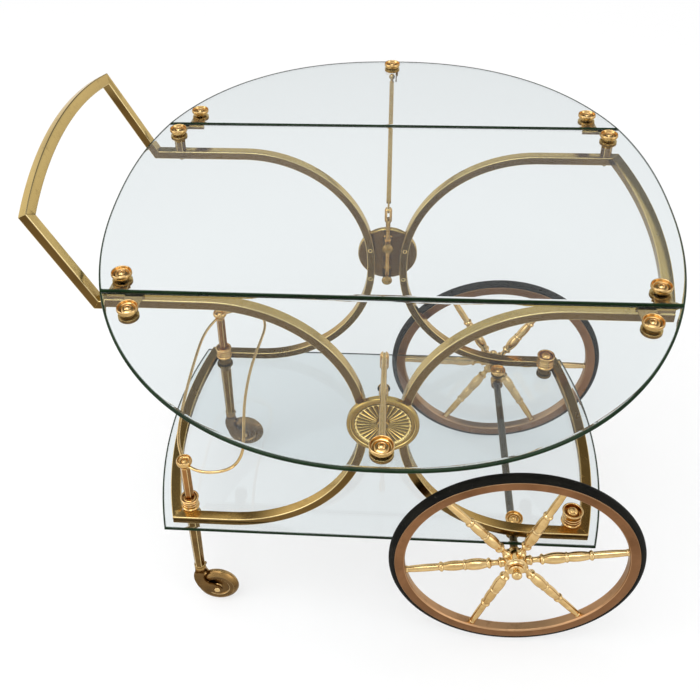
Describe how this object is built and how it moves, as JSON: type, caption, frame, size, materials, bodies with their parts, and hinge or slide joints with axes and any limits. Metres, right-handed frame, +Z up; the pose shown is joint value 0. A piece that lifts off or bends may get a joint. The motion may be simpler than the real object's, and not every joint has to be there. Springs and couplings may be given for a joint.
{
  "type": "bar cart",
  "caption": "Brass drinks cart with a glass drop-leaf top, curved side frames, spoked wheels, swivel casters and a lower glass tray with a wire bottle rail.",
  "frame": {"origin": "on the floor, midway between the two C-shaped side curves and midway between the near and far sides", "axes": "+X towards the big wheels, +Y towards the far side, +Z up"},
  "size_m": [0.7848, 0.9024, 0.7402],
  "materials": {
    "bar_brass": "polished, slightly aged",
    "turned_brass": "turned and polished",
    "copper_rim": "coppery, softly worn",
    "black_rubber": "smooth, half gloss",
    "clear_glass": "clear, polished"
  },
  "bodies": {
    "frame": {"axle": "turned_brass", "axle_collars": "turned_brass", "axle_hangers": "turned_brass", "bottle_rail": "turned_brass", "centre_discs": "turned_brass", "centre_glass": "clear_glass", "centre_hinge_plates": "turned_brass", "centre_knobs": "turned_brass", "centre_posts": "turned_brass", "corner_bosses": "turned_brass", "handle_arms": "bar_brass", "handle_grip": "bar_brass", "hanger_knobs": "turned_brass", "hinge_pins": "turned_brass", "left_cups": "turned_brass", "legs": "turned_brass", "lower_cross_bar_left": "bar_brass", "lower_cross_bar_right": "bar_brass", "medallion_bosses": "turned_brass", "medallion_plates": "turned_brass", "rail_knobs": "turned_brass", "rail_posts": "turned_brass", "right_cups": "turned_brass", "rosettes": "turned_brass", "side_bars_left": "bar_brass", "side_bars_right": "bar_brass", "stay_lugs": "turned_brass", "tray_discs": "turned_brass", "tray_glass": "clear_glass", "upper_cross_bar": "bar_brass"},
    "near_leaf": {"near_leaf_catch": "turned_brass", "near_leaf_discs": "turned_brass", "near_leaf_glass": "clear_glass", "near_leaf_hinge_plates": "turned_brass", "near_leaf_knobs": "turned_brass"},
    "near_pivot": {"near_pivot_rod": "turned_brass"},
    "near_prop": {"near_stay": "turned_brass"},
    "near_wheel": {"near_wheel_cap": "turned_brass", "near_wheel_hub": "turned_brass", "near_wheel_rim": "copper_rim", "near_wheel_spokes": "turned_brass", "near_wheel_tyre": "black_rubber"},
    "near_caster": {"near_caster_fork": "turned_brass", "near_caster_pin": "turned_brass"},
    "near_roller": {"near_caster_wheel": "turned_brass"},
    "far_leaf": {"far_leaf_catch": "turned_brass", "far_leaf_discs": "turned_brass", "far_leaf_glass": "clear_glass", "far_leaf_hinge_plates": "turned_brass", "far_leaf_knobs": "turned_brass"},
    "far_pivot": {"far_pivot_rod": "turned_brass"},
    "far_prop": {"far_stay": "turned_brass"},
    "far_wheel": {"far_wheel_cap": "turned_brass", "far_wheel_hub": "turned_brass", "far_wheel_rim": "copper_rim", "far_wheel_spokes": "turned_brass", "far_wheel_tyre": "black_rubber"},
    "far_caster": {"far_caster_fork": "turned_brass", "far_caster_pin": "turned_brass"},
    "far_roller": {"far_caster_wheel": "turned_brass"}
  },
  "joints": [
    {"name": "near_leaf_fold", "type": "hinge", "parent": "frame", "child": "near_leaf", "pos_m": [0, -0.204, 0.62], "axis": [1, 0, 0], "range_deg": [0, 70]},
    {"name": "near_stay_swing", "type": "hinge", "parent": "frame", "child": "near_pivot", "pos_m": [0, -0.164, 0.413], "axis": [0, 0, -1], "range_deg": [0, 25]},
    {"name": "near_stay_tilt", "type": "hinge", "parent": "near_pivot", "child": "near_prop", "pos_m": [0, -0.164, 0.506], "axis": [1, 0, 0], "range_deg": [0, 72.5]},
    {"name": "near_wheel_spin", "type": "hinge", "parent": "frame", "child": "near_wheel", "pos_m": [0.187, -0.204, 0.175], "axis": [0, 1, 0], "continuous": true},
    {"name": "near_caster_swivel", "type": "hinge", "parent": "frame", "child": "near_caster", "pos_m": [-0.2715, -0.1605, 0.0727], "axis": [0, 0, 1], "continuous": true},
    {"name": "near_caster_roll", "type": "hinge", "parent": "near_caster", "child": "near_roller", "pos_m": [-0.247, -0.1605, 0.032], "axis": [0, 1, 0], "continuous": true},
    {"name": "far_leaf_fold", "type": "hinge", "parent": "frame", "child": "far_leaf", "pos_m": [0, 0.204, 0.62], "axis": [-1, 0, 0], "range_deg": [0, 70]},
    {"name": "far_stay_swing", "type": "hinge", "parent": "frame", "child": "far_pivot", "pos_m": [0, 0.164, 0.413], "axis": [0, 0, 1], "range_deg": [0, 25]},
    {"name": "far_stay_tilt", "type": "hinge", "parent": "far_pivot", "child": "far_prop", "pos_m": [0, 0.164, 0.506], "axis": [-1, 0, 0], "range_deg": [0, 72.5]},
    {"name": "far_wheel_spin", "type": "hinge", "parent": "frame", "child": "far_wheel", "pos_m": [0.187, 0.204, 0.175], "axis": [0, 1, 0], "continuous": true},
    {"name": "far_caster_swivel", "type": "hinge", "parent": "frame", "child": "far_caster", "pos_m": [-0.2715, 0.1605, 0.0727], "axis": [0, 0, 1], "continuous": true},
    {"name": "far_caster_roll", "type": "hinge", "parent": "far_caster", "child": "far_roller", "pos_m": [-0.247, 0.1605, 0.032], "axis": [0, 1, 0], "continuous": true}
  ],
  "couplings": [
    {"joint": "near_stay_tilt", "follows": "near_leaf_fold", "ratio": 1.03},
    {"joint": "far_stay_tilt", "follows": "far_leaf_fold", "ratio": 1.03}
  ]
}
